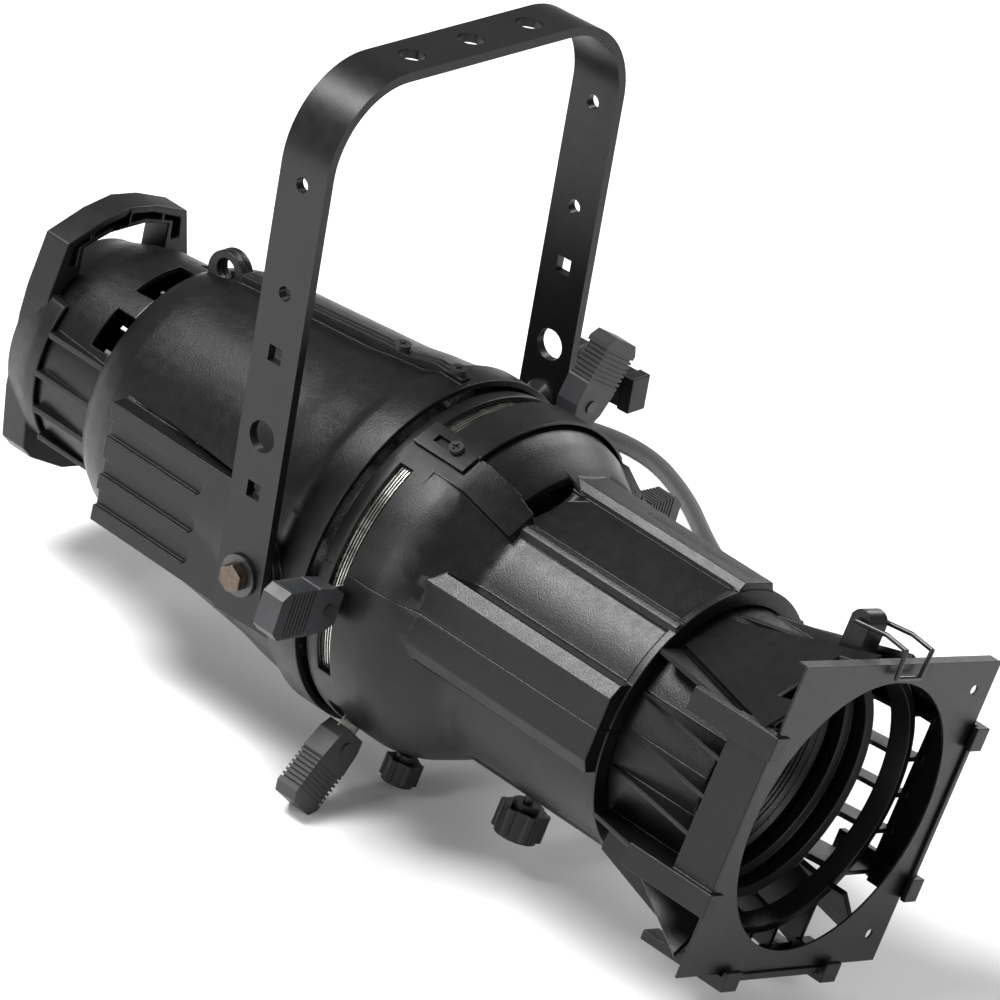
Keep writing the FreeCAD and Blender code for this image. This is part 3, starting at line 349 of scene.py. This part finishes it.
ROUTE = [  # the lead's line in millimetres, from the lamp cap down to the plug on the floor
    (80, 217.5, 104.7), (107, 217.5, 104.1), (134, 223, 94), (159, 230, 73.5), (181, 237, 47.5),
    (206, 244, 24), (240, 243, 9), (278, 226, 4.9), (312, 196, 4.9), (331, 152, 4.9),
    (314, 106, 4.9), (286, 66, 4.9), (262, 22, 4.9), (228, -14, 4.9), (180, -28, 4.9),
    (132, -14, 4.9), (96, 20, 4.9), (82, 68, 4.9), (98, 114, 4.9), (138, 142, 4.9),
    (186, 144, 4.9),
]
LEAD_LENGTH, LEAD_DIAMETER = 0.864, 0.0095
LEAD_ROUND = 30  # points round the section
LOBES, LOBE_DEPTH = 3, 0.045  # the depth is a part of the radius
LOBE_TURN = 9.0  # radians per metre
WEAVE_ALONG, WEAVE_ROUND = 420.0, 12.54  # UV units per metre of the lead and once round it


def route_points():
    """Points of the smooth line through the route."""
    data = bpy.data.curves.new("lead_line", "CURVE")
    data.dimensions, data.resolution_u = "3D", 16
    line = data.splines.new("NURBS")
    line.points.add(len(ROUTE) - 1)
    for point, place in zip(line.points, ROUTE):
        point.co = (*(Vector(place) * MM), 1.0)
    line.order_u, line.use_endpoint_u = 3, True
    made = link("lead_line", data)
    points = [v.co.copy() for v in bpy.data.meshes.new_from_object(made).vertices]
    bpy.data.objects.remove(made)
    return points


def lead_rings(line):
    """The rings of points along the line, and how far along it each ring is."""
    verts, places, run = [], [], 0.0
    side = Vector((0, 0, 1))
    for k, point in enumerate(line):
        way = (line[min(k + 1, len(line) - 1)] - line[max(k - 1, 0)]).normalized()
        side = (side - way * side.dot(way)).normalized()
        other = way.cross(side)
        run += (point - line[k - 1]).length if k else 0.0
        for j in range(LEAD_ROUND):
            angle = 2 * math.pi * j / LEAD_ROUND
            lobe = math.cos(LOBES * (angle + run * LOBE_TURN))
            reach = LEAD_DIAMETER / 2 * (1 - LOBE_DEPTH + LOBE_DEPTH * lobe)
            verts.append(point + (side * math.cos(angle) + other * math.sin(angle)) * reach)
        places.append(run)
    return verts, places


def lead():
    """The braided sleeve over three wires: a soft three-lobed section that turns slowly."""
    line = route_points()
    verts, places = lead_rings(line)
    mesh = bpy.data.meshes.new("lead")
    mesh.from_pydata(verts, [], skin(LEAD_ROUND, len(line)))
    layer = mesh.uv_layers.new(name="weave")
    for face in mesh.polygons[:-2]:
        for corner, loop in enumerate(face.loop_indices):
            k, j = divmod(face.vertices[corner], LEAD_ROUND)
            if corner in (1, 2) and j == 0:
                j = LEAD_ROUND
            layer.data[loop].uv = (places[k] * WEAVE_ALONG, j * WEAVE_ROUND / LEAD_ROUND)
    mesh.shade_smooth()
    made = link("lead", mesh)
    dress(made, "braid_grey")
    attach(made, "burner")
    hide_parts("power_cord")


def relief():
    """A moulded sleeve with deep rings that lets the lead bend where it leaves the cap."""
    rings, pitch, first = 5, 3.4, -17.0
    top_radius, narrowing, depth, bore = 7.6, 0.42, 1.0, 4.9
    profile = [(bore, -33), (6.7, -33), (6.7, -20.5), (7.9, -20), (7.9, -17.5)]
    for k in range(rings):
        low, radius = first + pitch * k, top_radius - narrowing * k
        profile += [(radius - depth, low), (radius - depth, low + 1.2),
                    (radius, low + 1.5), (radius, low + 3.0)]
    profile += [(5.3, 0.0), (bore, 0.0)]
    verts, faces = lathe(profile, 40)
    way = (Vector(ROUTE[1]) - Vector(ROUTE[0])).normalized()
    turn = Vector((0, 1, 0)).rotation_difference(way).to_matrix().to_4x4()
    place = Matrix.Translation(Vector(ROUTE[0]) * MM) @ turn
    smooth(mesh_piece("relief", verts, faces, place, "rubber_black", "burner", "strain_relief"))


# ---------------------------------------------------------------- finer pieces of the body


def baffles():
    """Fine steps turned in the tube's mouth, which keep stray light off its wall."""
    steps, pitch, inner, outer, front = 9, 2.1, 55.4, 57.0, -213.0
    wall, back = 57.3, -232.0
    profile = [(wall, front)]
    for k in range(steps):
        low = front - pitch * k
        profile += [(inner, low), (outer, low - 1.7)]
    profile.append((wall, back))
    verts, faces = lathe(profile, 120)
    smooth(mesh_piece("tube_baffles", verts, faces, BARREL, "cast_black", "lens_tube"), 20.0)


def frame_lip():
    """The colour frame's folded top edge, 5 mm deep, with a rounded bend."""
    half_width, foot, bottom, top = 78.0, 78.3, 78.6, 79.35
    back = (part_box("colour_frame")[1].y - PIVOT.y) / MM
    section = [(back - 1.1, foot), (back - 1.1, 79.0), (back - 0.6, top),
               (back + 5.0, top), (back + 5.0, bottom), (back - 0.1, bottom)]
    verts = [(x * MM, y * MM, z * MM) for x in (-half_width, half_width) for y, z in section]
    made = mesh_piece("frame_lip", verts, skin(len(section), 2), BARREL, "sheet_black",
                      "colour_frame")
    edge = made.modifiers.new("edge", "BEVEL")
    edge.width, edge.segments = 0.0002, 2


def groove_floor(side):
    """The blind floor of the groove above a side panel: a curved strip inside the wall."""
    start, sweep, steps = 64.0, 9.5, 8  # degrees from straight up
    profile = [(80.0, 20.0), (78.7, 30.0), (75.8, 61.0), (75.2, 61.0), (78.1, 30.0), (79.4, 20.0)]
    verts = []
    for k in range(steps + 1):
        verts += turned(profile, side * math.radians(start + sweep * k / steps))
    name = "groove_floor_right" if side > 0 else "groove_floor_left"
    faces = skin(len(profile), steps + 1)
    smooth(mesh_piece(name, verts, faces, PLAIN, "cast_black", "housing"))


def floor():
    half = 14
    mesh = bpy.data.meshes.new("floor")
    corners = [(-half, -half, 0), (half, -half, 0), (half, half, 0), (-half, half, 0)]
    mesh.from_pydata(corners, [], [(0, 1, 2, 3)])
    ground = link("floor", mesh)
    pale = Surface("pale_floor", (0.86, 0.86, 0.86), 0.7)
    pale.tint(pale.noise(3.0, 2.0), (0.88, 0.88, 0.88), (0.9, 0.9, 0.9))
    mesh.materials.append(pale.made)


camera()
lead()
relief()
baffles()
frame_lip()
groove_floor(1)
groove_floor(-1)
dress_nodes()
refine_nodes()
studio()
floor()
